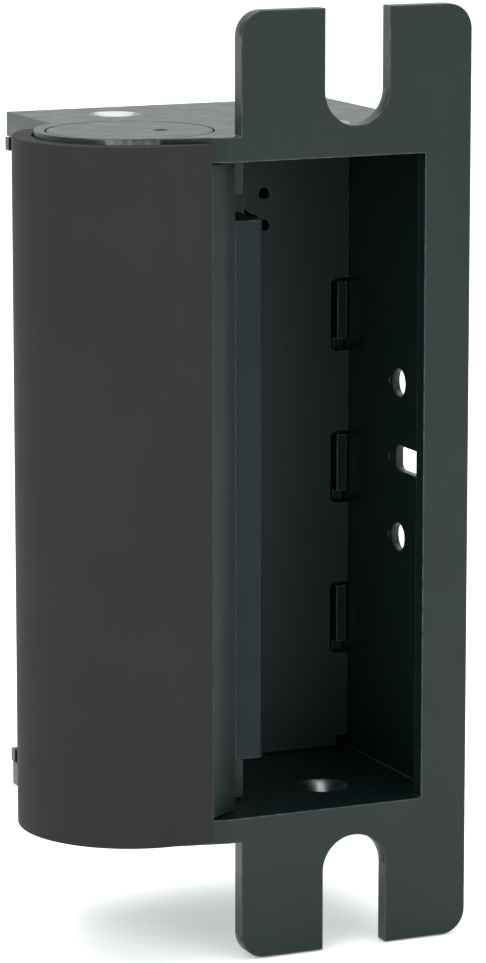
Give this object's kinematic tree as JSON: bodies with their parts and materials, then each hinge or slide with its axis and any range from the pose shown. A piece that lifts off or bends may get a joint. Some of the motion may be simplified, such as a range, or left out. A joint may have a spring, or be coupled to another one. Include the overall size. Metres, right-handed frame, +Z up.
{
  "type": "electric door strike",
  "caption": "Electric door strike: slotted front flange, open latch pocket, half-round keeper on a hinge pin and solenoid-driven lock blocks behind it.",
  "frame": {"origin": "centre of the flange's front face, at mid height", "axes": "+X along the flange's width towards its plain edge (the keeper is on the -X side), +Y into the door frame, +Z up"},
  "size_m": [0.0555, 0.0404, 0.1206],
  "materials": {
    "housing": "satin dark green-grey coating",
    "bronze_skin": "satin dark bronze",
    "blackened": "dark satin coating",
    "steel": "brushed",
    "zinc": "zinc plated",
    "copper": "enamelled copper winding",
    "bronze": "oiled bronze",
    "nylon": "matt",
    "black_plastic": "matt",
    "board": "green lacquer",
    "rubber": "matt"
  },
  "bodies": {
    "strike_body": {"housing": "housing", "ear_cap_upper": "housing", "ear_cap_lower": "housing", "partition_plate": "blackened", "rear_cover": "blackened", "side_guard": "blackened", "mechanism_shield": "blackened", "rear_cover_screws": "zinc", "solenoid_screws": "zinc", "stop_bumpers": "rubber", "hinge_pin": "steel", "torsion_spring": "steel", "circuit_board": "board", "board_standoffs": "zinc", "connector_socket": "black_plastic", "connector_pins": "bronze", "board_diodes": "black_plastic", "solenoid_yoke_upper": "zinc", "solenoid_bobbin_upper": "nylon", "solenoid_coil_upper": "copper", "solenoid_core_upper": "steel", "plunger_spring_upper": "steel", "solenoid_yoke_lower": "zinc", "solenoid_bobbin_lower": "nylon", "solenoid_coil_lower": "copper", "solenoid_core_lower": "steel", "plunger_spring_lower": "steel"},
    "keeper": {"keeper_frame": "housing", "lock_heels": "steel", "latch_pad": "housing", "latch_pad_screws": "zinc", "keeper_cover": "bronze_skin", "cover_studs": "steel", "cover_nuts": "zinc", "hinge_bush_upper": "bronze", "hinge_bush_lower": "bronze"},
    "plunger_group_upper": {"plunger_upper": "steel", "lock_block_upper": "steel", "lock_block_pin_upper": "steel"},
    "plunger_group_lower": {"plunger_lower": "steel", "lock_block_lower": "steel", "lock_block_pin_lower": "steel"}
  },
  "joints": [
    {"name": "keeper_swing", "type": "hinge", "parent": "strike_body", "child": "keeper", "pos_m": [-0.0288, 0.0282, 0], "axis": [0, 0, 1], "range_deg": [-90, 0], "stiffness_Nm_per_rad": 0.05, "springref_deg": 22.92, "deforming": ["torsion_spring"]},
    {"name": "plunger_slide_upper", "type": "slide", "parent": "strike_body", "child": "plunger_group_upper", "axis": [0, 0, -1], "range_m": [0, 0.0042], "stiffness_N_per_m": 150, "springref_m": -0.002, "deforming": ["plunger_spring_upper"]},
    {"name": "plunger_slide_lower", "type": "slide", "parent": "strike_body", "child": "plunger_group_lower", "axis": [0, 0, 1], "range_m": [0, 0.0042], "stiffness_N_per_m": 150, "springref_m": -0.002, "deforming": ["plunger_spring_lower"]}
  ]
}
